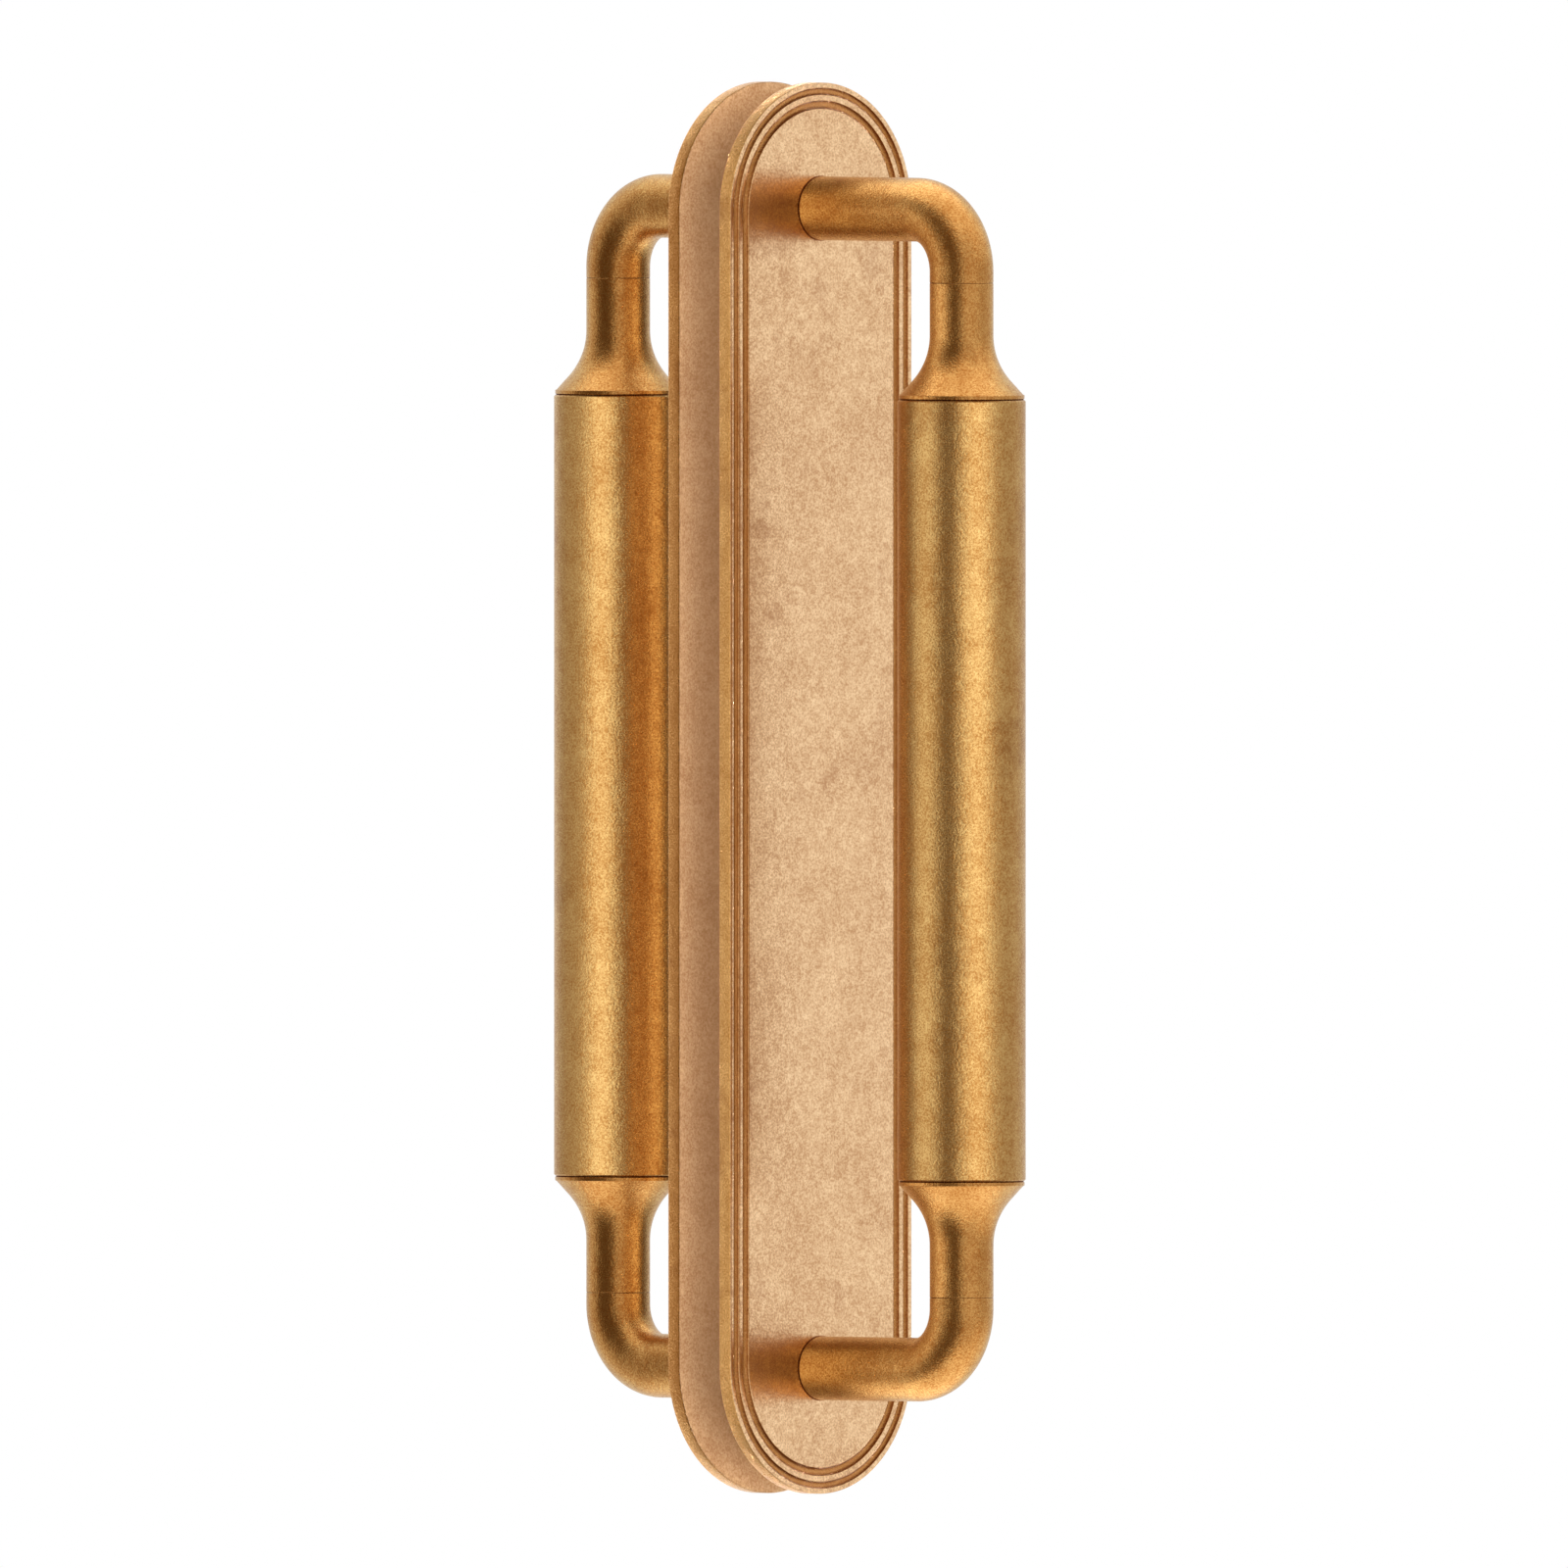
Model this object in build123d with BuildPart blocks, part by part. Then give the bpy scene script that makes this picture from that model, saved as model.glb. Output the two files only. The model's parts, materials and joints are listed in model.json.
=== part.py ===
"""A pair of pull handles, one for each side of a door, joined back to back.

Each handle is a fluted stadium-shaped back plate, two posts that end in a 90 degree bend, two flared
necks and a thick tubular grip. Two threaded studs run through the door from post to post.

The origin is the middle of the pair: halfway through the door and halfway between the two fixing axes.
X is sideways, Y goes through the door with the front handle at minus Y, and Z is up. Millimetres.
"""

import os
from math import cos, radians, sin, tan

from build123d import *

# Sizes of the pair
fixing_centres = 300.0
projection = 51.0
door_gap = 14.5

# Back plates
plate_width = 67.0
plate_overhang = 32.5
plate_thickness = 4.0
plate_edge_break = 0.25

# Flutes round a plate's border, from the edge inwards
rim_land = 1.35
outer_flute_width = 1.8
outer_flute_depth = 0.75
middle_land = 1.5
inner_flute_width = 2.1
inner_flute_depth = 0.85

# Posts and bends, with a short straight run from a bend to its seam
tube_diameter = 16.5
bend_radius = 16.0
bend_end_run = 2.8
foot_chamfer = 0.2
seam_chamfer = 0.15

# Necks
neck_length = 30.2
lip_height = 1.3
lip_setback = 0.3
lip_chamfer = 0.35
flare_angle = 42.0
flare_radius = 17.7
spigot_length = 12.0
spigot_chamfer = 0.8

# Grips
grip_diameter = 33.2
grip_wall = 3.0
grip_chamfer = 0.4

# Studs: the through studs have a thinner shank between the two posts
through_stud_diameter = 8.0
shank_diameter = 7.0
front_engagement = 12.0
rear_engagement = 20.0
neck_stud_diameter = 6.0
neck_stud_engagement = 8.5
stud_chamfer = 0.8

# Set screws
set_screw_diameter = 5.0
set_screw_setback = 12.0
set_screw_recess = 0.2
set_screw_chamfer = 0.4
hex_key = 2.5
hex_depth = 1.8

# Fits: the first four are on the diameter, the last two are gaps at an end
thread_clearance = 0.1
rear_bore_clearance = 0.2
plate_hole_clearance = 1.4
spigot_clearance = 0.1
stud_end_clearance = 1.0
set_screw_tip_clearance = 0.05

# Places that follow from the sizes
inner_face = door_gap / 2
outer_face = inner_face + plate_thickness
grip_offset = outer_face + projection
post_run = projection - bend_radius
fixing_level = fixing_centres / 2
bend_end_level = fixing_level - bend_radius
seam_level = bend_end_level - bend_end_run
grip_end = seam_level - neck_length
plate_height = fixing_centres + 2 * plate_overhang
tube_radius = tube_diameter / 2
grip_radius = grip_diameter / 2
grip_bore_radius = grip_radius - grip_wall

sides = (("front", -1), ("rear", 1))
ends = (("upper", 1), ("lower", -1))

os.makedirs("parts", exist_ok=True)


def outward(facing, distance):
    """The plane square to Y at a distance from the door's middle, its normal outwards and its Y axis up."""
    return Plane(origin=(0, facing * distance, 0), x_dir=(-facing, 0, 0), z_dir=(0, facing, 0))


def level_plane(height):
    """The level plane at a height."""
    return Plane.XY.offset(height)


# Back plates: a stadium with a hole on each fixing axis and two round-bottomed flutes round its border
outer_flute_inset = rim_land + outer_flute_width / 2
inner_flute_inset = rim_land + outer_flute_width + middle_land + inner_flute_width / 2
flutes = (
    (outer_flute_inset, outer_flute_width, outer_flute_depth),
    (inner_flute_inset, inner_flute_width, inner_flute_depth),
)
straight_half = (plate_height - plate_width) / 2
plate_hole_radius = (through_stud_diameter + plate_hole_clearance) / 2

for side, facing in sides:
    with BuildPart() as backplate:
        with BuildSketch(outward(facing, inner_face)):
            SlotOverall(plate_height, plate_width, rotation=90)
            with GridLocations(0, fixing_centres, 1, 2):
                Circle(plate_hole_radius, mode=Mode.SUBTRACT)
        extrude(amount=plate_thickness)
        show_face = backplate.faces().sort_by(Axis((0, 0, 0), (0, facing, 0)))[-1]
        chamfer(show_face.outer_wire().edges(), plate_edge_break)
        for inset, width, depth in flutes:
            cutter_radius = (width**2 / 4 + depth**2) / (2 * depth)
            course_radius = plate_width / 2 - inset
            with BuildLine(outward(facing, outer_face + cutter_radius - depth)) as course:
                Line((course_radius, -straight_half), (course_radius, straight_half))
                CenterArc((0, straight_half), course_radius, 0, 180)
                Line((-course_radius, straight_half), (-course_radius, -straight_half))
                CenterArc((0, -straight_half), course_radius, 180, 180)
            with BuildSketch(Plane(origin=course.wire() @ 0, z_dir=course.wire() % 0)):
                Circle(cutter_radius)
            sweep(path=course.wire(), mode=Mode.SUBTRACT)
    backplate.part.label = f"{side}_backplate"
    export_step(backplate.part, f"parts/{side}_backplate.step")

# Elbow posts: a straight post from the plate, then a bend towards the middle of the handle. The front
# posts are tapped for the through studs. The rear posts have a plain bore for them and a tapped hole
# from below for a set screw. Every bend is tapped at its end for a neck stud.
bores = {
    "front": (through_stud_diameter + thread_clearance, front_engagement + stud_end_clearance),
    "rear": (through_stud_diameter + rear_bore_clearance, rear_engagement + stud_end_clearance),
}
neck_stud_hole_radius = (neck_stud_diameter + thread_clearance) / 2
neck_stud_hole_depth = neck_stud_engagement + stud_end_clearance

for side, facing in sides:
    bore_diameter, bore_depth = bores[side]
    for end, level in ends:
        bend_middle = (0, facing * (outer_face + post_run), level * bend_end_level)
        with BuildPart() as elbow_post:
            with BuildSketch(outward(facing, outer_face)):
                with Locations((0, level * fixing_level)):
                    Circle(tube_radius)
            extrude(amount=post_run)
            foot, *_, bend_start = elbow_post.faces().sort_by(Axis((0, 0, 0), (0, facing, 0)))
            revolve(bend_start, axis=Axis(bend_middle, (-facing * level, 0, 0)), revolution_arc=90)
            bend_end = elbow_post.faces().sort_by(Axis((0, 0, 0), (0, 0, -level)))[-1]
            extrude(bend_end, amount=bend_end_run)
            chamfer(foot.edges(), foot_chamfer)
            seam_face = elbow_post.faces().sort_by(Axis((0, 0, 0), (0, 0, -level)))[-1]
            chamfer(seam_face.edges(), seam_chamfer)
            with BuildSketch(outward(facing, outer_face)):
                with Locations((0, level * fixing_level)):
                    Circle(bore_diameter / 2)
            extrude(amount=bore_depth, mode=Mode.SUBTRACT)
            with BuildSketch(level_plane(level * seam_level)):
                with Locations((0, facing * grip_offset)):
                    Circle(neck_stud_hole_radius)
            extrude(amount=level * neck_stud_hole_depth, mode=Mode.SUBTRACT)
            if side == "rear":
                with BuildSketch(level_plane(level * fixing_level)):
                    with Locations((0, facing * (outer_face + set_screw_setback))):
                        Circle((set_screw_diameter + thread_clearance) / 2)
                extrude(amount=-tube_diameter, mode=Mode.SUBTRACT)
        elbow_post.part.label = f"{side}_{end}_elbow_post"
        export_step(elbow_post.part, f"parts/{side}_{end}_elbow_post.step")

# Necks: turned about the grip's axis. From the grip outwards they have a spigot, a lip, a cone and a
# flare that runs into a plain round end as thick as the bend.
lip_radius = grip_radius - lip_setback
spigot_radius = grip_bore_radius - spigot_clearance / 2
flare_slope = radians(flare_angle)
flare_foot_radius = tube_radius + flare_radius * (1 - cos(flare_slope))
flare_foot = lip_height + (lip_radius - flare_foot_radius) / tan(flare_slope)
flare_top = flare_foot + flare_radius * sin(flare_slope)

for side, facing in sides:
    for end, level in ends:
        grip_mouth = Plane((0, facing * grip_offset, level * grip_end), (1, 0, 0), (0, -level, 0))
        with BuildPart() as neck:
            with BuildSketch(grip_mouth):
                with BuildLine():
                    lower_side = Polyline(
                        (0, neck_length),
                        (0, -spigot_length),
                        (spigot_radius - spigot_chamfer, -spigot_length),
                        (spigot_radius, spigot_chamfer - spigot_length),
                        (spigot_radius, 0),
                        (lip_radius - lip_chamfer, 0),
                        (lip_radius, lip_chamfer),
                        (lip_radius, lip_height),
                        (flare_foot_radius, flare_foot),
                    )
                    TangentArc(lower_side @ 1, (tube_radius, flare_top), tangent=lower_side % 1)
                    Polyline(
                        (tube_radius, flare_top),
                        (tube_radius, neck_length - seam_chamfer),
                        (tube_radius - seam_chamfer, neck_length),
                        (0, neck_length),
                    )
                make_face()
            revolve(axis=Axis(grip_mouth.origin, (0, 0, 1)))
            with BuildSketch(level_plane(level * seam_level)):
                with Locations((0, facing * grip_offset)):
                    Circle(neck_stud_hole_radius)
            extrude(amount=-level * neck_stud_hole_depth, mode=Mode.SUBTRACT)
        neck.part.label = f"{side}_{end}_neck"
        export_step(neck.part, f"parts/{side}_{end}_neck.step")

# Grips: thick tubes between the necks
for side, facing in sides:
    with BuildPart() as grip:
        with BuildSketch(level_plane(-grip_end)):
            with Locations((0, facing * grip_offset)):
                Circle(grip_radius)
                Circle(grip_bore_radius, mode=Mode.SUBTRACT)
        extrude(amount=2 * grip_end)
        outer_rims = grip.edges().filter_by(GeomType.CIRCLE).group_by(SortBy.RADIUS)[-1]
        chamfer(outer_rims, grip_chamfer)
    grip.part.label = f"{side}_grip"
    export_step(grip.part, f"parts/{side}_grip.step")

# Neck studs: one across each seam between a bend and a neck
for side, facing in sides:
    for end, level in ends:
        with BuildPart() as neck_stud:
            with BuildSketch(level_plane(level * seam_level - neck_stud_engagement)):
                with Locations((0, facing * grip_offset)):
                    Circle(neck_stud_diameter / 2)
            extrude(amount=2 * neck_stud_engagement)
            chamfer(neck_stud.edges().filter_by(GeomType.CIRCLE), stud_chamfer)
        neck_stud.part.label = f"{side}_{end}_neck_stud"
        export_step(neck_stud.part, f"parts/{side}_{end}_neck_stud.step")

# Through studs, and the set screws that hold them from below in the rear posts
set_screw_tip = through_stud_diameter / 2 + set_screw_tip_clearance
set_screw_head = tube_radius - set_screw_recess

for end, level in ends:
    with BuildPart() as through_stud:
        with BuildSketch(outward(1, -outer_face - front_engagement)):
            with Locations((0, level * fixing_level)):
                Circle(through_stud_diameter / 2)
        extrude(amount=front_engagement + 2 * outer_face + rear_engagement)
        chamfer(through_stud.edges().filter_by(GeomType.CIRCLE), stud_chamfer)
        with BuildSketch(outward(1, -outer_face)):
            with Locations((0, level * fixing_level)):
                Circle(through_stud_diameter / 2)
                Circle(shank_diameter / 2, mode=Mode.SUBTRACT)
        extrude(amount=2 * outer_face, mode=Mode.SUBTRACT)
    through_stud.part.label = f"{end}_through_stud"
    export_step(through_stud.part, f"parts/{end}_through_stud.step")

    with BuildPart() as set_screw:
        with BuildSketch(level_plane(level * fixing_level - set_screw_head)):
            with Locations((0, outer_face + set_screw_setback)):
                Circle(set_screw_diameter / 2)
        extrude(amount=set_screw_head - set_screw_tip)
        chamfer(set_screw.edges().filter_by(GeomType.CIRCLE), set_screw_chamfer)
        with BuildSketch(level_plane(level * fixing_level - set_screw_head)):
            with Locations((0, outer_face + set_screw_setback)):
                RegularPolygon(hex_key / 2, 6, major_radius=False)
        extrude(amount=hex_depth, mode=Mode.SUBTRACT)
    set_screw.part.label = f"rear_{end}_set_screw"
    export_step(set_screw.part, f"parts/rear_{end}_set_screw.step")
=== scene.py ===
"""Back-to-back pull handle: detailed brass pieces and their finishes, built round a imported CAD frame."""

import json
import math
from functools import partial

import bmesh
import bpy
from mathutils import Matrix, Vector

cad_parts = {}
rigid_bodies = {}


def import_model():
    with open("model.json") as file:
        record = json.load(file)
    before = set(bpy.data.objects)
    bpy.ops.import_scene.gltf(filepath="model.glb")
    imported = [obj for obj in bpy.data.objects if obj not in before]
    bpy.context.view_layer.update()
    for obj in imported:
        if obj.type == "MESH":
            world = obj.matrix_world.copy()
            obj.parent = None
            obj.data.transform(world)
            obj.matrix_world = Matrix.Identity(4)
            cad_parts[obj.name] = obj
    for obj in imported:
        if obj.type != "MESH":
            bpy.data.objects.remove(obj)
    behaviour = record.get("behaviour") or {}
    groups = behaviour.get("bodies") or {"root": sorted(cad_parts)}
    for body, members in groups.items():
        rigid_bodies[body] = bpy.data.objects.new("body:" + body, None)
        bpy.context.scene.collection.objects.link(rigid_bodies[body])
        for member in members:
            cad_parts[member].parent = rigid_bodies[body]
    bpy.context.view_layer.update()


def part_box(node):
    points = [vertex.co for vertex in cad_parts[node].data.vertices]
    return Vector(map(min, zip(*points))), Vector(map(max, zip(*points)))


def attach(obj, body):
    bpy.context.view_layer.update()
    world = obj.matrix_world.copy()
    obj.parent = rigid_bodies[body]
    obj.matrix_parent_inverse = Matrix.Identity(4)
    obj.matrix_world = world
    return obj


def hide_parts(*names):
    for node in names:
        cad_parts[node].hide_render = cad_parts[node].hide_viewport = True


bl_info = {
    "name": "Back-to-Back Pull Handle",
    "version": (1, 0, 0),
    "blender": (4, 5, 0),
    "location": "View3D > Sidebar > Pull Handle",
    "description": "Builds a pair of door pull handles with fluted plates, bent posts and tubular grips",
    "category": "Add Mesh",
}

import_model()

MM = 0.001
BODY = "root"

# Half turns that carry a piece from the front upper place to each of the four places.
TURNS = {
    ("front", "upper"): Matrix.Identity(4),
    ("front", "lower"): Matrix.Rotation(math.pi, 4, "Y"),
    ("rear", "upper"): Matrix.Rotation(math.pi, 4, "Z"),
    ("rear", "lower"): Matrix.Rotation(math.pi, 4, "X"),
}

plate_low, plate_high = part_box("front_backplate")
post_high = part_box("front_upper_elbow_post")[1]
neck_low, neck_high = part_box("front_upper_neck")
grip_low, grip_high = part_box("front_grip")
through_low, through_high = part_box("upper_through_stud")
set_screw_low, set_screw_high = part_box("rear_upper_set_screw")


# Settings


def length(name, metres, description):
    """A size in metres, shown as a length."""
    look = {"precision": 5, "subtype": "DISTANCE", "unit": "LENGTH"}
    return bpy.props.FloatProperty(name=name, description=description, default=metres, min=0.0, **look)


def angle(name, degrees, description):
    """An angle given in degrees, kept in radians."""
    look = {"subtype": "ANGLE", "unit": "ROTATION"}
    return bpy.props.FloatProperty(name=name, description=description, default=math.radians(degrees), **look)


def colour(name, code, description):
    """A colour given as an sRGB hex code, kept as linear light."""
    look = {"min": 0.0, "max": 1.0, "size": 3, "subtype": "COLOR"}
    return bpy.props.FloatVectorProperty(name=name, description=description, default=linear(code), **look)


def light_level(name, value, description):
    """A light level, where 1 is white."""
    return bpy.props.FloatProperty(name=name, description=description, default=value, min=0.0)


def linear(code):
    """Linear RGB of an sRGB hex code such as "#C89A5B"."""
    parts = [int(code[i : i + 2], 16) / 255 for i in (1, 3, 5)]
    return tuple(c / 12.92 if c <= 0.04045 else ((c + 0.055) / 1.055) ** 2.4 for c in parts)


class PULLHANDLE_PG_plate(bpy.types.PropertyGroup):
    """Sizes of the stadium-shaped back plates."""

    width: length("Width", plate_high.x - plate_low.x, "Width across the straight sides")
    height: length("Height", plate_high.z - plate_low.z, "Height over the round ends")
    thickness: length("Thickness", plate_high.y - plate_low.y, "Thickness of the plate")
    inner_face: length("Inner Face", -plate_high.y, "From the door's middle to the plate's inner face")
    edge_round: length("Edge Round", 0.22 * MM, "Soft radius on the plate's and the flutes' edges")
    rim_land: length("Rim Land", 1.35 * MM, "Flat outside the outer flute")
    outer_flute_width: length("Outer Flute Width", 1.8 * MM, "Width of the outer flute")
    outer_flute_depth: length("Outer Flute Depth", 0.75 * MM, "Depth of the outer flute")
    middle_land: length("Middle Land", 1.5 * MM, "Flat between the two flutes")
    inner_flute_width: length("Inner Flute Width", 2.1 * MM, "Width of the inner flute")
    inner_flute_depth: length("Inner Flute Depth", 0.85 * MM, "Depth of the inner flute")
    hole_radius: length("Hole Radius", 4.7 * MM, "Radius of the two holes behind the posts")


class PULLHANDLE_PG_post(bpy.types.PropertyGroup):
    """Sizes of the bent posts and of the holes in them."""

    radius: length("Radius", post_high.x, "Radius of the round post")
    level: length("Level", 0.5 * (through_low.z + through_high.z), "Height of the post's axis")
    bend_radius: length("Bend Radius", 16 * MM, "Radius of the bend along the post's axis")
    seam_level: length("Seam Level", neck_high.z, "Height of the joint between bend and neck")
    edge_round: length("Edge Round", 0.22 * MM, "Soft radius on the post's two ends")
    stud_bore: length("Stud Bore", 4.05 * MM, "Radius of the front posts' tapped bore")
    stud_bore_depth: length("Stud Bore Depth", 13 * MM, "Depth of the front posts' bore")
    clamp_bore: length("Clamp Bore", 4.1 * MM, "Radius of the rear posts' plain bore")
    clamp_bore_depth: length("Clamp Bore Depth", 21 * MM, "Depth of the rear posts' bore")
    neck_bore: length("Neck Bore", 3.05 * MM, "Radius of the tapped bore in the bend's end")
    neck_bore_depth: length("Neck Bore Depth", 9.5 * MM, "Depth of the bore in the bend's end")
    screw_hole: length("Screw Hole", 2.55 * MM, "Radius of the set screw's hole")
    screw_mouth: length("Screw Mouth", 0.4 * MM, "Width of the bevel round the set screw's hole")


class PULLHANDLE_PG_neck(bpy.types.PropertyGroup):
    """Sizes of the turned necks between bend and grip."""

    lip_radius: length("Lip Radius", neck_high.x, "Radius of the lip that sits on the grip")
    lip_height: length("Lip Height", 1.3 * MM, "Height of the lip's straight rim")
    lip_bevel: length("Lip Bevel", 0.35 * MM, "Bevel of the lip towards the grip")
    lip_step: length("Lip Step", 0.32 * MM, "Fine step between rim and flare")
    flare_radius: length("Flare Radius", 17.7 * MM, "Radius of the hollow flare")
    flare_angle: angle("Flare Angle", 42, "Slope of the flare at the lip, from the axis")
    spigot_radius: length("Spigot Radius", 13.55 * MM, "Radius of the spigot bonded into the grip")
    spigot_bevel: length("Spigot Bevel", 0.8 * MM, "Bevel on the spigot's end")


class PULLHANDLE_PG_grip(bpy.types.PropertyGroup):
    """Sizes of the tubular grips."""

    radius: length("Radius", 0.5 * (grip_high.y - grip_low.y), "Outside radius of the tube")
    wall: length("Wall", 3 * MM, "Thickness of the tube's wall")
    half_length: length("Half Length", grip_high.z, "From the handle's middle to the tube's end")
    offset: length("Offset", -0.5 * (grip_low.y + grip_high.y), "From the door's middle to the grip's axis")
    bevel: length("Bevel", 0.4 * MM, "Bevel on the tube's ends")


class PULLHANDLE_PG_fasteners(bpy.types.PropertyGroup):
    """Sizes of the studs and set screws."""

    through_pitch: length("Through Stud Pitch", 1.25 * MM, "Thread spacing of the through studs")
    waist_radius: length("Waist Radius", 3.5 * MM, "Radius of the plain waist that crosses the door")
    neck_pitch: length("Neck Stud Pitch", 1.0 * MM, "Thread spacing of the neck studs")
    screw_pitch: length("Set Screw Pitch", 0.8 * MM, "Thread spacing of the set screws")
    stud_point: length("Stud Point", 0.8 * MM, "Bevel on a stud's two ends")
    screw_point: length("Set Screw Point", 0.4 * MM, "Bevel on a set screw's two ends")
    socket_width: length("Socket Width", 2.5 * MM, "Width across the flats of the hexagon socket")
    socket_depth: length("Socket Depth", 1.8 * MM, "Depth of the hexagon socket")


class PULLHANDLE_PG_finish(bpy.types.PropertyGroup):
    """Colours of the metals."""

    brass: colour("Brass", "#EFC982", "Burnished brass of the grips, necks and posts")
    brass_deep: colour("Deep Brass", "#BF8745", "Darker, browner clouds in the burnished brass")
    border: colour("Border Brass", "#F0BE78", "Burnished brass of the plates' edges and flutes")
    # Besides real stains, this is the colour of painted shade in pits, grooves, flutes and seams.
    brass_tarnish: colour("Tarnish", "#84441A", "Tarnish in pits, grooves and seams")
    plate: colour("Plate Brass", "#F0D1A7", "Paler brass of the plates")
    plate_deep: colour("Deep Plate Brass", "#BF966D", "Darker clouds in the plates' brass")
    # Painted shade: the colour that the plates' backs are darkened towards in the gap between the two plates.
    back_shade: colour("Back Shade", "#6B4A2A", "Brown film on the sheltered middle of the plates' backs")
    steel: colour("Steel", "#A9A9AB", "Zinc-plated studs and set screws")


class PULLHANDLE_PG_studio(bpy.types.PropertyGroup):
    """Camera, floor and light levels."""

    azimuth: angle("Camera Azimuth", -45.5, "Direction round the handle, from straight in front")
    elevation: angle("Camera Elevation", 0.9, "Angle over the level of the handle")
    camera_distance: length("Camera Distance", 2.0, "From the handle to the camera")
    frame_width: length("Frame Width", 405.5 * MM, "Width that the camera sees")
    shift_right: length("Shift Right", 1.52 * MM, "From the picture's middle to the handle")
    shift_down: length("Shift Down", 0.96 * MM, "From the picture's middle down to the handle")
    floor_level: length("Floor Drop", 250 * MM, "From the handle's middle down to the floor")
    floor_radius: length("Floor Radius", 2.5, "Radius of the round floor")
    floor_colour: colour("Floor Colour", "#BEBDBB", "White paint of the floor")
    lamp_distance: length("Lamp Distance", 1.5, "From the handle to the soft boxes")
    room_level: light_level("Room Level", 0.12, "Light of the unlit side of the room")
    room_colour: colour("Room Colour", "#FFCB98", "Tint of the unlit side of the room")
    warm_light: colour("Warm Light", "#FFE9D7", "Tint of the light on necks and posts")
    gap_light: colour("Gap Light", "#FFF5EA", "Tint of the light between the plates")
    backdrop_level: light_level("Backdrop Level", 0.85, "Light of the white backdrop in the metal")
    overhead_height: length("Overhead Height", 1.6, "From the handle up to the lamp for the floor")
    overhead_width: length("Overhead Width", 0.7, "Width of the lamp for the floor")
    overhead_level: light_level("Overhead Level", 4.0, "Level of the lamp for the floor")
    floor_glow: light_level("Floor Glow", 0.72, "Light of the floor without lamps, near the handle")
    floor_far_glow: light_level("Far Floor Glow", 0.86, "The same far off, where no lamp reaches it")
    near_floor: length("Near Floor", 0.3, "From the handle's middle to where the glow starts to grow")
    far_floor: length("Far Floor", 1.5, "From the handle's middle to where it is full")


class PULLHANDLE_PG_settings(bpy.types.PropertyGroup):
    """All settings of the pull handle."""

    plate: bpy.props.PointerProperty(type=PULLHANDLE_PG_plate, name="Plate")
    post: bpy.props.PointerProperty(type=PULLHANDLE_PG_post, name="Post")
    neck: bpy.props.PointerProperty(type=PULLHANDLE_PG_neck, name="Neck")
    grip: bpy.props.PointerProperty(type=PULLHANDLE_PG_grip, name="Grip")
    fasteners: bpy.props.PointerProperty(type=PULLHANDLE_PG_fasteners, name="Fasteners")
    finish: bpy.props.PointerProperty(type=PULLHANDLE_PG_finish, name="Finish")
    studio: bpy.props.PointerProperty(type=PULLHANDLE_PG_studio, name="Studio")


def sizes_of(group):
    """A group's sizes by their shown names, which are the names of a tree's inputs too."""
    sizes = [item for item in group.bl_rna.properties if item.type == "FLOAT"]
    return {item.name: getattr(group, item.identifier) for item in sizes}


# Nodes

MATH, VECTOR_MATH, COMPARE = "ShaderNodeMath", "ShaderNodeVectorMath", "FunctionNodeCompare"
MAP_RANGE, MIX = "ShaderNodeMapRange", "ShaderNodeMix"
COMBINE, SEPARATE = "ShaderNodeCombineXYZ", "ShaderNodeSeparateXYZ"
SWEEP, MERGE = "GeometryNodeCurveToMesh", "GeometryNodeMergeByDistance"
MOVE, JOIN = "GeometryNodeTransform", "GeometryNodeJoinGeometry"


def fill(node, links):
    """Fill a node's inputs with values, other nodes' outputs or, by their names, the tree's own inputs."""
    tree = node.id_data
    for key, given in links.items():
        for source in given if isinstance(given, list) else [given]:
            if isinstance(source, str):
                source = tree.nodes["Group Input"].outputs[source]
            if isinstance(source, bpy.types.Node):
                source = source.outputs[0]
            if isinstance(source, bpy.types.NodeSocket):
                tree.links.new(source, node.inputs[key])
            else:
                node.inputs[key].default_value = source


def add_node(tree, kind, links=None, operation=None, **settings):
    """Add a node, set its attributes and fill its inputs."""
    node = tree.nodes.new(kind)
    if operation:
        node.operation = operation
    for attribute, value in settings.items():
        setattr(node, attribute, value)
    fill(node, links or {})
    return node


def new_tree(name, sizes, materials=("Material",)):
    """A geometry node tree with named inputs for sizes and materials, and what adds nodes to it."""
    tree = bpy.data.node_groups.new(name, "GeometryNodeTree")
    tree.interface.new_socket("Geometry", in_out="OUTPUT", socket_type="NodeSocketGeometry")
    for size in sizes:
        socket = tree.interface.new_socket(size, in_out="INPUT", socket_type="NodeSocketFloat")
        socket.subtype = "DISTANCE"
    for material in materials:
        tree.interface.new_socket(material, in_out="INPUT", socket_type="NodeSocketMaterial")
    add_node(tree, "NodeGroupInput")
    return tree, partial(add_node, tree)


def end_tree(tree, geometry, parts=()):
    """End a tree in real geometry and materials. Parts are pairs of a selection and a material input."""
    end = add_node(tree, "GeometryNodeRealizeInstances", {"Geometry": geometry})
    for selection, material in [(True, "Material"), *parts]:
        given = {"Geometry": end, "Selection": selection, "Material": material}
        end = add_node(tree, "GeometryNodeSetMaterial", given)
    add_node(tree, "NodeGroupOutput", {"Geometry": end}, is_active_output=True)
    return tree


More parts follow.
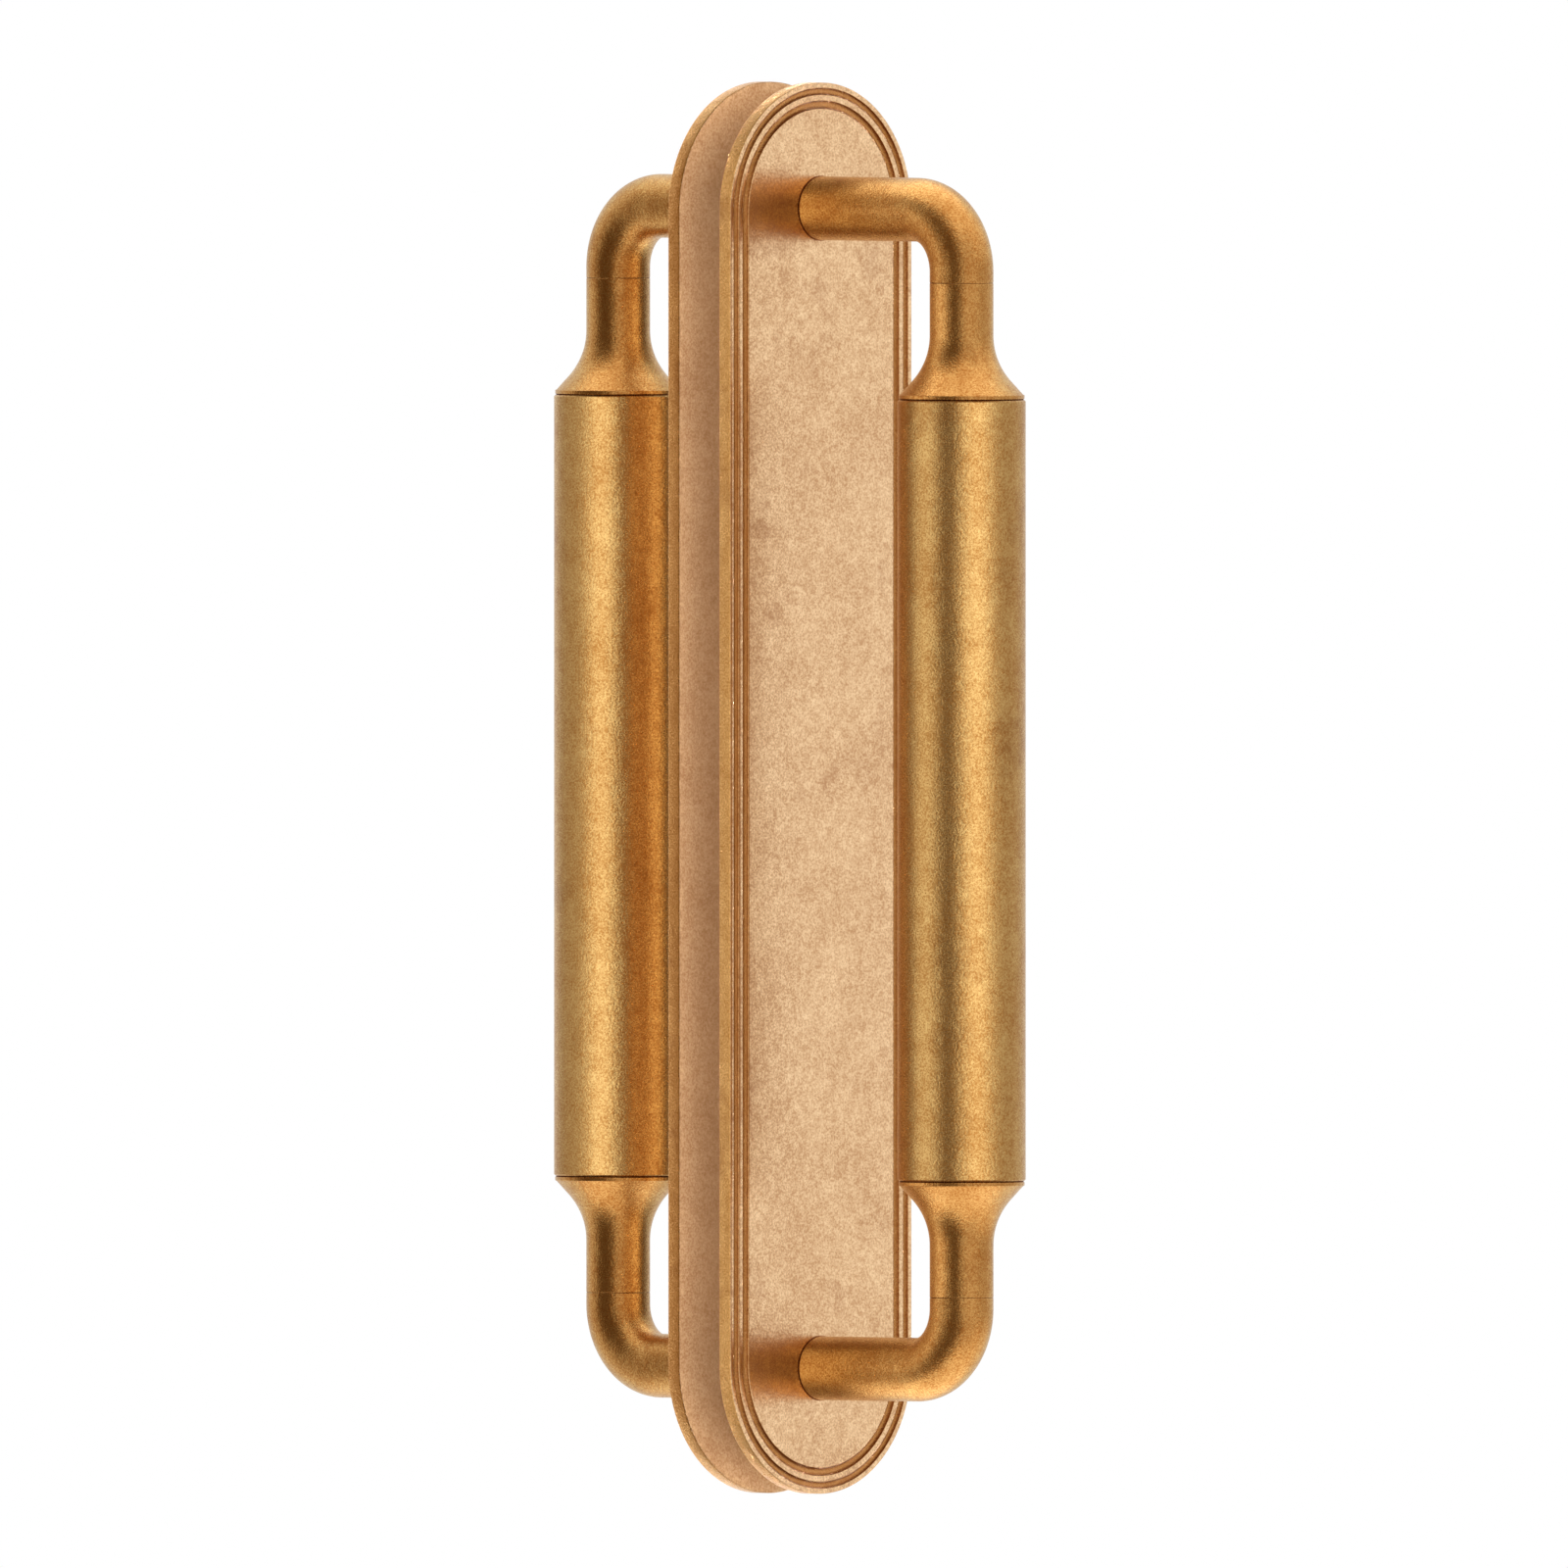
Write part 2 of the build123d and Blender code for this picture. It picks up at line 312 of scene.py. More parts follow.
def fluted_plate_tree():
    """A stadium plate whose fluted border is one profile swept along the outline."""
    inputs = ("Width", "Height", "Thickness", "Edge Round", "Hole Level", "Hole Radius", "Rim Land")
    inputs += ("Outer Flute Width", "Outer Flute Depth", "Middle Land", "Inner Flute Width")
    inputs += ("Inner Flute Depth", "Field Margin")
    materials = ("Material", "Edge Material", "Back Material")
    tree, add = new_tree("Fluted Plate", inputs, materials)
    merge, hair = 0.005 * MM, 0.02 * MM

    # Distances in from the outline: rim land, outer flute, middle land, inner flute, start of the field.
    inward = ["Rim Land"]
    for width in ("Outer Flute Width", "Middle Land", "Inner Flute Width", "Field Margin"):
        inward.append(add(MATH, {0: inward[-1], 1: width}))
    corners = [("Field Margin", 0.0), (0.0, 0.0), (0.0, "Thickness")]
    corners += [(place, "Thickness") for place in inward]
    corners = [add(COMBINE, {"X": x, "Y": y}) for x, y in corners]
    runs = []
    for start, end in ((0, 1), (1, 2), (2, 3), (4, 5), (6, 7)):
        runs.append(add("GeometryNodeCurvePrimitiveLine", {"Start": corners[start], "End": corners[end]}))
    for start, end, depth in ((3, 4, "Outer Flute Depth"), (5, 6, "Inner Flute Depth")):
        middle = add(MIX, {"Factor": 0.5, 4: corners[start], 5: corners[end]}, data_type="VECTOR")
        drop = add(COMBINE, {"Y": depth})
        bottom = add(VECTOR_MATH, {0: middle.outputs[1], 1: drop}, "SUBTRACT")
        arc_points = {"Resolution": 14, "Start": corners[start], "Middle": bottom, "End": corners[end]}
        runs.append(add("GeometryNodeCurveArc", arc_points, mode="POINTS"))
    wire = add(SWEEP, {"Curve": add(JOIN, {"Geometry": runs})})
    wire = add(MERGE, {"Geometry": wire, "Distance": merge})
    profile = add("GeometryNodeMeshToCurve", {"Mesh": wire})
    fillet = {"Curve": profile, "Count": 3, "Radius": "Edge Round", "Limit Radius": True}
    profile = add("GeometryNodeFilletCurve", fillet, mode="POLY")
    # Half a turn, so that the sweep puts the profile inside the outline and above it.
    profile = add(MOVE, {"Geometry": profile, "Rotation": (0.0, 0.0, math.pi)})

    # The outline: a rectangle, its corners rounded to nearly half its width, so that no two points meet.
    outline = add("GeometryNodeCurvePrimitiveQuadrilateral", {"Width": "Width", "Height": "Height"})
    half = add(MATH, {0: "Width", 1: 0.5, 2: -0.1 * MM}, "MULTIPLY_ADD")
    outline = add("GeometryNodeFilletCurve", {"Curve": outline, "Count": 72, "Radius": half}, mode="POLY")
    outline = add("GeometryNodeSetCurveNormal", {"Curve": outline}, mode="Z_UP")
    border = add(SWEEP, {"Curve": outline, "Profile Curve": profile})
    border = add(MERGE, {"Geometry": border, "Distance": merge})

    # Holes for the studs.
    low = add(MATH, {0: "Hole Level", 1: -1.0}, "MULTIPLY")
    ends = [add(COMBINE, {"Y": level}) for level in ("Hole Level", low)]
    ring = add("GeometryNodeCurvePrimitiveCircle", {"Resolution": 64, "Radius": "Hole Radius"})
    rings = add(JOIN, {"Geometry": [add(MOVE, {"Geometry": ring, "Translation": end}) for end in ends]})
    rings = add("GeometryNodeSetCurveNormal", {"Curve": rings}, mode="Z_UP")
    rise = add(COMBINE, {"Z": "Thickness"})
    walls = {"Mesh": add(SWEEP, {"Curve": rings}), "Offset": rise}
    walls = add("GeometryNodeExtrudeMesh", walls, mode="EDGES")

    # The field and the back are filled between the border's open edges and the holes.
    place = add("GeometryNodeInputPosition")
    height = add(SEPARATE, {"Vector": place})
    middle = add(MATH, {0: "Thickness", 1: 0.5}, "MULTIPLY")
    sides = add("GeometryNodeInputMeshEdgeNeighbors")
    is_open = add(COMPARE, {2: sides, 3: 1}, "EQUAL", data_type="INT")
    sheets = []
    for operation, lift in (("GREATER_THAN", rise), ("LESS_THAN", None)):
        near = add(COMPARE, {"A": height.outputs["Z"], "B": middle}, operation)
        wanted = add("FunctionNodeBooleanMath", {0: is_open, 1: near}, "AND")
        loop = add("GeometryNodeMeshToCurve", {"Mesh": border, "Selection": wanted})
        sheet = add("GeometryNodeFillCurve", {"Curve": add(JOIN, {"Geometry": [loop, rings]})})
        if lift:
            sheet = add(MOVE, {"Geometry": sheet, "Translation": lift})
        sheets.append(sheet)
    whole = add(JOIN, {"Geometry": [border, walls] + sheets})
    whole = add(MERGE, {"Geometry": whole, "Distance": merge})

    # Whatever lies under the face, which is walls and flutes, is burnished. The back is left as milled.
    skin = add(MATH, {0: "Thickness", 1: hair}, "SUBTRACT")
    under, back = (
        add(COMPARE, {"A": height.outputs["Z"], "B": limit}, "LESS_THAN") for limit in (skin, hair)
    )
    return end_tree(tree, whole, [(under, "Edge Material"), (back, "Back Material")])


def bent_post_tree():
    """A round post that leaves the plate, bends down through a quarter turn and runs on to the seam."""
    inputs = ("Foot", "Offset", "Level", "Seam Level", "Bend Radius", "Radius", "End Ring")
    tree, add = new_tree("Bent Post", inputs)
    near_foot = add(MATH, {0: "Foot", 1: "End Ring"}, "SUBTRACT")
    near_seam = add(MATH, {0: "Seam Level", 1: "End Ring"})
    stations = [
        ("Foot", "Level"),
        (near_foot, "Level"),
        ("Offset", "Level"),
        ("Offset", near_seam),
        ("Offset", "Seam Level"),
    ]
    chain = add("GeometryNodeMeshLine", {"Count": len(stations)})
    order = add("GeometryNodeInputIndex")
    pick = add("GeometryNodeIndexSwitch", {"Index": order}, data_type="VECTOR")
    while len(pick.index_switch_items) < len(stations):
        pick.index_switch_items.new()
    for number, (out, up) in enumerate(stations, 1):
        fill(pick, {number: add(COMBINE, {"Y": out, "Z": up})})
    chain = add("GeometryNodeSetPosition", {"Geometry": chain, "Position": pick})
    path = add("GeometryNodeMeshToCurve", {"Mesh": chain})
    at_corner = add(COMPARE, {2: order, 3: 2}, "EQUAL", data_type="INT")
    bend = add(MATH, {0: "Bend Radius", 1: at_corner}, "MULTIPLY")
    path = add("GeometryNodeFilletCurve", {"Curve": path, "Count": 40, "Radius": bend}, mode="POLY")
    circle = add("GeometryNodeCurvePrimitiveCircle", {"Resolution": 128, "Radius": "Radius"})
    sweep = add(SWEEP, {"Curve": path, "Profile Curve": circle, "Fill Caps": True})
    clean = add(MERGE, {"Geometry": sweep, "Distance": 0.001 * MM})
    return end_tree(tree, clean)


def threaded_rod_tree():
    """A threaded rod with bevelled ends, an optional plain waist and an optional hexagon socket."""
    inputs = ("Length", "Radius", "Pitch", "Thread Depth", "Point")
    inputs += ("Waist Radius", "Waist Start", "Waist End", "Socket Width", "Socket Depth")
    tree, add = new_tree("Threaded Rod", inputs)

    # Eight rings of points to each turn of the thread.
    turns = add(MATH, {0: "Length", 1: "Pitch"}, "DIVIDE")
    ring_count = add(MATH, {0: turns, 1: 8.0}, "MULTIPLY")
    rod = {"Vertices": 40, "Side Segments": ring_count, "Radius": "Radius", "Depth": "Length"}
    rod = add("GeometryNodeMeshCylinder", rod)
    half = add(MATH, {0: "Length", 1: 0.5}, "MULTIPLY")

    # The groove's depth follows the angle round the rod plus the turns along it.
    place = add("GeometryNodeInputPosition")
    axes = add(SEPARATE, {"Vector": place})
    along = add(MATH, {0: axes.outputs["Z"], 1: half})
    around = add(MATH, {0: axes.outputs["Y"], 1: axes.outputs["X"]}, "ARCTAN2")
    around = add(MATH, {0: around, 1: 2 * math.pi}, "DIVIDE")
    run = add(MATH, {0: along, 1: "Pitch"}, "DIVIDE")
    helix = add(MATH, {0: run, 1: around}, "SUBTRACT")
    wave = add(MATH, {0: helix, 1: 0.5}, "PINGPONG")
    # Crest and root are each flat for 0.12 of a turn.
    flank = add(MAP_RANGE, {"Value": wave, "From Min": 0.06, "From Max": 0.44, "To Max": "Thread Depth"})
    thread = add(MATH, {0: "Radius", 1: flank}, "SUBTRACT")

    # Plain waist, then the bevel at both ends.
    after = add(COMPARE, {"A": along, "B": "Waist Start"}, "GREATER_THAN")
    before = add(COMPARE, {"A": along, "B": "Waist End"}, "LESS_THAN")
    waisted = add("FunctionNodeBooleanMath", {0: after, 1: before}, "AND")
    body = {"Switch": waisted, "False": thread, "True": "Waist Radius"}
    body = add("GeometryNodeSwitch", body, input_type="FLOAT")
    rest = add(MATH, {0: "Length", 1: along}, "SUBTRACT")
    nearest = add(MATH, {0: along, 1: rest}, "MINIMUM")
    taper = add(MATH, {0: add(MATH, {0: "Radius", 1: nearest}), 1: "Point"}, "SUBTRACT")
    radius = add(MATH, {0: body, 1: taper}, "MINIMUM")
    flat = add(VECTOR_MATH, {0: place, 1: (1.0, 1.0, 0.0)}, "MULTIPLY")
    spoke = add(VECTOR_MATH, {0: add(VECTOR_MATH, {0: flat}, "NORMALIZE"), "Scale": radius}, "SCALE")
    target = add(VECTOR_MATH, {0: spoke, 1: add(COMBINE, {"Z": along})})
    cut_rod = add("GeometryNodeSetPosition", {"Geometry": rod, "Position": target})

    # A hexagon socket in the lower end, where one is asked for.
    key_radius = add(MATH, {0: "Socket Width", 1: 2 * math.cos(math.pi / 6)}, "DIVIDE")
    twice = add(MATH, {0: "Socket Depth", 1: 2.0}, "MULTIPLY")
    key = add("GeometryNodeMeshCylinder", {"Vertices": 6, "Radius": key_radius, "Depth": twice})
    socketed = {"Mesh 1": cut_rod, "Mesh 2": [key]}
    socketed = add("GeometryNodeMeshBoolean", socketed, "DIFFERENCE", solver="EXACT")
    wants_key = add(COMPARE, {"A": "Socket Width", "B": 0.0}, "GREATER_THAN")
    choice = {"Switch": wants_key, "False": cut_rod, "True": socketed}
    choice = add("GeometryNodeSwitch", choice, input_type="GEOMETRY")
    return end_tree(tree, choice)


# Meshes


def tree_named(name, build):
    """The node tree of that name, built once."""
    return bpy.data.node_groups.get(name) or build()


def result_of(piece):
    """Replace a piece's mesh by what its modifiers make of it, and remove them."""
    bpy.context.view_layer.update()
    depsgraph = bpy.context.evaluated_depsgraph_get()
    mesh = bpy.data.meshes.new_from_object(piece.evaluated_get(depsgraph), depsgraph=depsgraph)
    piece.modifiers.clear()
    piece.data = mesh
    return piece


def new_piece(name, mesh):
    """An object at the origin that holds a mesh."""
    piece = bpy.data.objects.new(name, mesh)
    bpy.context.scene.collection.objects.link(piece)
    return piece


def grow(name, tree, values):
    """A piece with a geometry node tree on it, whose inputs are set from values of the same names."""
    piece = new_piece(name, bpy.data.meshes.new(name))
    modifier = piece.modifiers.new("Build", "NODES")
    modifier.node_group = tree
    sockets = {item.name: item.identifier for item in tree.interface.items_tree if item.in_out == "INPUT"}
    for key, value in values.items():
        if key in sockets:
            modifier[sockets[key]] = value
    return piece


SMALL_ROUND, SMALL_ROUND_STEPS, LARGE_ROUND_STEPS = 2 * MM, 5, 28
SUPPORT = 0.06 * MM
ON_AXIS = 0.0001 * MM


def rounded(corners):
    """Profile points of corners (radius, height, round), with arcs and a close point on each side of them."""
    points = []
    flat = [Vector(c[:2]) for c in corners]
    for number, (radius, height, rounding) in enumerate(corners):
        here = flat[number]
        if rounding <= 0 or number in (0, len(corners) - 1):
            points.append(tuple(here))
            continue
        back = (flat[number - 1] - here).normalized()
        ahead = (flat[number + 1] - here).normalized()
        half = 0.5 * back.angle(ahead)
        reach = rounding / math.tan(half)
        centre = here + (back + ahead).normalized() * (rounding / math.sin(half))
        first, last = here + back * reach - centre, here + ahead * reach - centre
        steps = SMALL_ROUND_STEPS if rounding < SMALL_ROUND else LARGE_ROUND_STEPS
        support = min(SUPPORT, 0.3 * rounding)
        points.append(tuple(here + back * (reach + support)))
        for step in range(steps + 1):
            points.append(tuple(centre + first.slerp(last, step / steps) * rounding))
        points.append(tuple(here + ahead * (reach + support)))
    return points


def turned(profile, closed=False, segments=192):
    """A mesh turned about Z from a profile of (radius, height) points."""
    shape = bmesh.new()
    rings = []
    for radius, height in profile:
        count = segments if radius > ON_AXIS else 1
        angles = [2 * math.pi * i / count for i in range(count)]
        spots = [(radius * math.cos(a), radius * math.sin(a), height) for a in angles]
        rings.append([shape.verts.new(spot) for spot in spots])
    for lower, upper in zip(rings, rings[1:] + rings[:1] if closed else rings[1:]):
        for i in range(segments):
            j = (i + 1) % segments
            around = ((lower, i), (lower, j), (upper, j), (upper, i))
            shape.faces.new(dict.fromkeys(ring[k % len(ring)] for ring, k in around))
    mesh = bpy.data.meshes.new("turned")
    bmesh.ops.recalc_face_normals(shape, faces=shape.faces)
    shape.to_mesh(mesh)
    shape.free()
    return mesh


def put_in(piece, node, material=None, sharp_angle=40):
    """Finish the mesh. The piece stands for its CAD node and moves with its body.

    Its faces point outwards and are smooth but for sharp edges. A grown piece has its material already.
    """
    shape = bmesh.new()
    shape.from_mesh(piece.data)
    bmesh.ops.recalc_face_normals(shape, faces=shape.faces)
    shape.to_mesh(piece.data)
    shape.free()
    piece.data.name = piece.name
    piece.data.shade_smooth()
    piece.data.set_sharp_from_angle(angle=math.radians(sharp_angle))
    if material:
        piece.data.materials.append(material)
    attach(piece, BODY)
    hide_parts(node)


# Finishes


def new_material(name):
    """A named node material, its shader, and what adds nodes to it."""
    material = bpy.data.materials.new(name)
    material.use_nodes = True
    tree = material.node_tree
    return material, tree.nodes["Principled BSDF"], partial(add_node, tree)


# The shares of deep brass are added up from here, so that some of the metal stays bare.
BARE_METAL = -0.05


def aged_brass(name, light, deep, tarnish_and_shade, rough, pit_depth, shade_distance, sheltered=0.68, metallic=1.0):
    """Aged brass: the eye sees sandy grain, mottling and wide clouds, with brown stains, and brown painted
    shade in crevices, seams and gaps, darker the nearer other surfaces are.
    """
    if name in bpy.data.materials:
        return bpy.data.materials[name]
    material, shader, add = new_material(name)
    place = add("ShaderNodeTexCoord").outputs["Object"]

    # Pattern size in mm, detail, the noise values that become 0 and 1, share of the colour, relief.
    # The real grain is near 0.2 mm, too fine to show in the render, so it is drawn at 0.5 mm.
    patterns = (
        (16.0, 4.0, 0.36, 0.68, 0.26, 4.0),
        (3.0, 4.0, 0.34, 0.70, 0.30, 1.0),
        (0.5, 3.0, 0.36, 0.64, 0.74, 1.6),
    )
    amount, normal = None, None
    for wave, detail, low, high, share, relief in patterns:
        values = {"Vector": place, "Scale": 1 / (wave * MM), "Detail": detail, "Roughness": 0.6}
        noise = add("ShaderNodeTexNoise", values)
        mask = add(MAP_RANGE, {"Value": noise, "From Min": low, "From Max": high})
        amount = add(MATH, {0: mask, 1: share, 2: amount or BARE_METAL}, "MULTIPLY_ADD")
        values = {"Height": noise, "Strength": 1.0, "Distance": relief * pit_depth}
        if normal:
            values["Normal"] = normal
        normal = add("ShaderNodeBump", values)
    colour_mix = add(MIX, {"Factor": amount, 6: (*light, 1.0), 7: (*deep, 1.0)}, data_type="RGBA")

    # Tarnish stains here and there, which are the metal's own, and painted shade in crevices, seams and gaps:
    # the nearer other surfaces are, the browner, as where shade falls.
    stains = {"Vector": place, "Scale": 1 / (24 * MM), "Detail": 7.0, "Roughness": 0.65}
    stains = add("ShaderNodeTexNoise", stains)
    stains = add(MAP_RANGE, {"Value": stains, "From Min": 0.57, "From Max": 0.75, "To Max": 0.35})
    # Painted shade: ambient occlusion turns crevices, flutes and the gap between the plates towards the brown
    # colour.
    tarnish_and_shade_mask = add("ShaderNodeAmbientOcclusion", {"Distance": shade_distance}, samples=16)
    tarnish_and_shade_mask = {"Value": tarnish_and_shade_mask.outputs["AO"], "From Min": 0.95, "From Max": sheltered, "To Max": 0.9}
    tarnish_and_shade_mask = add(MAP_RANGE, tarnish_and_shade_mask)
    stains_and_shade = add(MATH, {0: stains, 1: tarnish_and_shade_mask}, "MAXIMUM")
    stained_and_shaded = add(MIX, {"Factor": stains_and_shade, 6: colour_mix.outputs[2], 7: (*tarnish_and_shade, 1.0)}, data_type="RGBA")
    dulled = add(MAP_RANGE, {"Value": amount, "To Min": rough - 0.04, "To Max": rough + 0.08})
    fill(shader, {"Base Color": stained_and_shaded.outputs[2], "Roughness": dulled})
    fill(shader, {"Normal": normal, "Metallic": metallic})
    return material


def burnished_brass(finish):
    """Turned and bent brass, burnished by hand: the eye sees warm reflections with soft, broken edges."""
    colours = finish.brass, finish.brass_deep, finish.brass_tarnish
    return aged_brass("burnished aged brass", *colours, rough=0.255, pit_depth=0.07 * MM, shade_distance=0.5 * MM)


def border_brass(finish):
    """The plate's milled edge and flutes, burnished: the eye sees warm lines, with brown painted shade in the
    flutes between them.
    """
    colours = finish.border, finish.brass_deep, finish.brass_tarnish
    # Its reach spans the flutes, so the painted shade darkens them.
    return aged_brass("burnished plate border", *colours, rough=0.27, pit_depth=0.13 * MM, shade_distance=3.0 * MM)


def plate_brass(finish):
    """Rolled brass plate, rubbed down flat: the eye sees paler, sandy metal that mirrors the post dimly."""
    colours = finish.plate, finish.plate_deep, finish.brass_tarnish
    return aged_brass("rubbed brass plate", *colours, rough=0.19, pit_depth=0.025 * MM, shade_distance=0.4 * MM)


def back_brass(finish):
    """The plate's back, milled, never polished: the eye sees a dull tan, with painted shade that turns it
    browner where the other plate and the posts are near.
    """
    colours = finish.plate, finish.plate_deep, finish.back_shade
    # A wide reach, so that the painted shade darkens the back across the gap to the other plate.
    surface = {"rough": 0.42, "pit_depth": 0.03 * MM, "shade_distance": 22 * MM, "sheltered": 0.42, "metallic": 0.8}
    return aged_brass("dull milled brass", *colours, **surface)


def plated_steel(finish):
    """Zinc-plated steel: the eye sees a plain grey metal, slightly blotchy from the plating bath."""
    name = "zinc-plated steel"
    if name in bpy.data.materials:
        return bpy.data.materials[name]
    material, shader, add = new_material(name)
    place = add("ShaderNodeTexCoord").outputs["Object"]
    blotch = add("ShaderNodeTexNoise", {"Vector": place, "Scale": 1 / (3 * MM), "Detail": 3.0})
    dull = tuple(0.8 * c for c in finish.steel)
    base = add(MIX, {"Factor": blotch, 6: (*finish.steel, 1.0), 7: (*dull, 1.0)}, data_type="RGBA")
    rough = add(MAP_RANGE, {"Value": blotch, "To Min": 0.25, "To Max": 0.45})
    fill(shader, {"Base Color": base.outputs[2], "Roughness": rough, "Metallic": 1.0})
    return material


# Operators

# Flat strip between the inner flute and the filled field, so that the flute's soft edge ends before it.
FIELD_MARGIN = 0.5 * MM
# A metric thread is cut this share of its pitch deep.
THREAD_DEPTH = 0.61


class PULLHANDLE_OT_plates(bpy.types.Operator):
    """Build the two fluted back plates"""

    bl_idname = "pull_handle.plates"
    bl_label = "Back Plates"

    def execute(self, context):
        settings = context.scene.pull_handle
        plate = settings.plate
        tree = tree_named("Fluted Plate", fluted_plate_tree)
        values = {
            **sizes_of(plate),
            "Field Margin": FIELD_MARGIN,
            "Hole Level": settings.post.level,
            "Material": plate_brass(settings.finish),
            "Edge Material": border_brass(settings.finish),
            "Back Material": back_brass(settings.finish),
        }
        # The tree makes the plate lying down, face up.
        stand = Matrix.Translation((0.0, -plate.inner_face, 0.0)) @ Matrix.Rotation(math.pi / 2, 4, "X")
        for side in ("front", "rear"):
            piece = result_of(grow(f"{side}_plate", tree, values))
            piece.data.transform(TURNS[side, "upper"] @ stand)
            put_in(piece, f"{side}_backplate")
        return {"FINISHED"}


class PULLHANDLE_OT_posts(bpy.types.Operator):
    """Build the four bent posts, with their bores and the rear ones' set screw holes"""

    bl_idname = "pull_handle.posts"
    bl_label = "Bent Posts"

    def execute(self, context):
        settings = context.scene.pull_handle
        post, plate, grip = settings.post, settings.plate, settings.grip
        tree = tree_named("Bent Post", bent_post_tree)
        foot = plate.inner_face + plate.thickness
        # A ring of points close to each end keeps its bevel narrow.
        ends = {"Foot": -foot, "Offset": -grip.offset, "End Ring": 2.5 * post.edge_round}
        values = {**sizes_of(post), **ends, "Material": burnished_brass(settings.finish)}
        for (side, end), turn in TURNS.items():
            piece = grow(f"{side}_{end}_post", tree, values)
            bevel = piece.modifiers.new("Soft Ends", "BEVEL")
            bevel.width = post.edge_round
            bevel.segments = 3
            bevel.limit_method = "ANGLE"
            bevel.angle_limit = math.radians(60)
            result_of(piece)
            piece.data.transform(turn)
            for cutter in self.cutters(settings, side, end, turn, foot):
                cut = piece.modifiers.new("Bore", "BOOLEAN")
                cut.operation = "DIFFERENCE"
                cut.solver = "EXACT"
                cut.object = cutter
                result_of(piece)
                bpy.data.objects.remove(cutter)
            put_in(piece, f"{side}_{end}_elbow_post")
        return {"FINISHED"}

    def cutters(self, settings, side, end, turn, foot):
        """Solid rods where the bores are drilled, each from a little outside the post."""
        post, grip = settings.post, settings.grip
        front = side == "front"
        bore = post.stud_bore if front else post.clamp_bore
        depth = post.stud_bore_depth if front else post.clamp_bore_depth
        past = 1 * MM
        outwards = Matrix.Rotation(math.pi / 2, 4, "X")
        stud_bore = turned([(0, -past), (bore, -past), (bore, depth), (0, depth)], segments=64)
        stud_bore.transform(turn @ Matrix.Translation((0, -foot, post.level)) @ outwards)
        neck_bore = [(0, -past), (post.neck_bore, -past), (post.neck_bore, post.neck_bore_depth)]
        neck_bore = turned(neck_bore + [(0, post.neck_bore_depth)], segments=48)
        neck_bore.transform(turn @ Matrix.Translation((0, -grip.offset, post.seam_level)))
        meshes = [stud_bore, neck_bore]
        if not front:
            # From below, on both rear posts, as far as the stud's bore.
            level = post.level if end == "upper" else -post.level
            skin = level - post.radius
            hole, mouth, reach = post.screw_hole, post.screw_mouth, post.radius
            points = [(0, -past), (hole + mouth + past, -past), (hole, mouth), (hole, reach), (0, reach)]
            screw_hole = turned(points, segments=64)
            middle = 0.5 * (set_screw_low.y + set_screw_high.y)
            screw_hole.transform(Matrix.Translation((0, middle, skin)))
            meshes.append(screw_hole)
        return [new_piece("cutter", mesh) for mesh in meshes]


class PULLHANDLE_OT_necks(bpy.types.Operator):
    """Build the four turned necks with their lips, flares and spigots"""

    bl_idname = "pull_handle.necks"
    bl_label = "Turned Necks"

    def execute(self, context):
        settings = context.scene.pull_handle
        neck, post, grip = settings.neck, settings.post, settings.grip
        material = burnished_brass(settings.finish)
        top = post.seam_level - grip.half_length
        foot = neck_low.z - grip.half_length
        step = neck.lip_step
        rise = (neck.lip_radius - step - post.radius) / math.tan(neck.flare_angle)
        corners = [
            (0, foot, 0),
            (neck.spigot_radius - neck.spigot_bevel, foot, 0.1 * MM),
            (neck.spigot_radius, foot + neck.spigot_bevel, 0.1 * MM),
            (neck.spigot_radius, 0, 0.05 * MM),
            (neck.lip_radius - neck.lip_bevel, 0, 0.05 * MM),
            (neck.lip_radius, neck.lip_bevel, 0.1 * MM),
            (neck.lip_radius, neck.lip_height, 0.22 * MM),
            (neck.lip_radius - step, neck.lip_height, 0.03 * MM),
            (post.radius, neck.lip_height + rise, neck.flare_radius),
            (post.radius, top, post.edge_round),
            (post.neck_bore, top, 0.2 * MM),
            (post.neck_bore, top - post.neck_bore_depth, 0.1 * MM),
            (0, top - post.neck_bore_depth, 0),
        ]
        profile = rounded(corners)
        for (side, end), turn in TURNS.items():
            piece = new_piece(f"{side}_{end}_turned_neck", turned(profile))
            piece.data.transform(turn @ Matrix.Translation((0, -grip.offset, grip.half_length)))
            put_in(piece, f"{side}_{end}_neck", material)
        return {"FINISHED"}


class PULLHANDLE_OT_grips(bpy.types.Operator):
    """Build the two tubular grips"""

    bl_idname = "pull_handle.grips"
    bl_label = "Tubular Grips"

    def execute(self, context):
        settings = context.scene.pull_handle
        grip = settings.grip
        material = burnished_brass(settings.finish)
        inside = grip.radius - grip.wall
        end, bevel, soft = grip.half_length, grip.bevel, 0.08 * MM
        outside = [
            (inside, 0, 0),
            (inside, end - 0.5 * bevel, soft),
            (inside + 0.5 * bevel, end, soft),
            (grip.radius - bevel, end, soft),
            (grip.radius, end - bevel, soft),
            (grip.radius, 0, 0),
        ]
        half = rounded(outside)
        profile = half + [(radius, -height) for radius, height in reversed(half[1:-1])]
        for side in ("front", "rear"):
            piece = new_piece(f"{side}_tubular_grip", turned(profile, closed=True, segments=256))
            piece.data.transform(TURNS[side, "upper"] @ Matrix.Translation((0, -grip.offset, 0)))
            put_in(piece, f"{side}_grip", material)
        return {"FINISHED"}


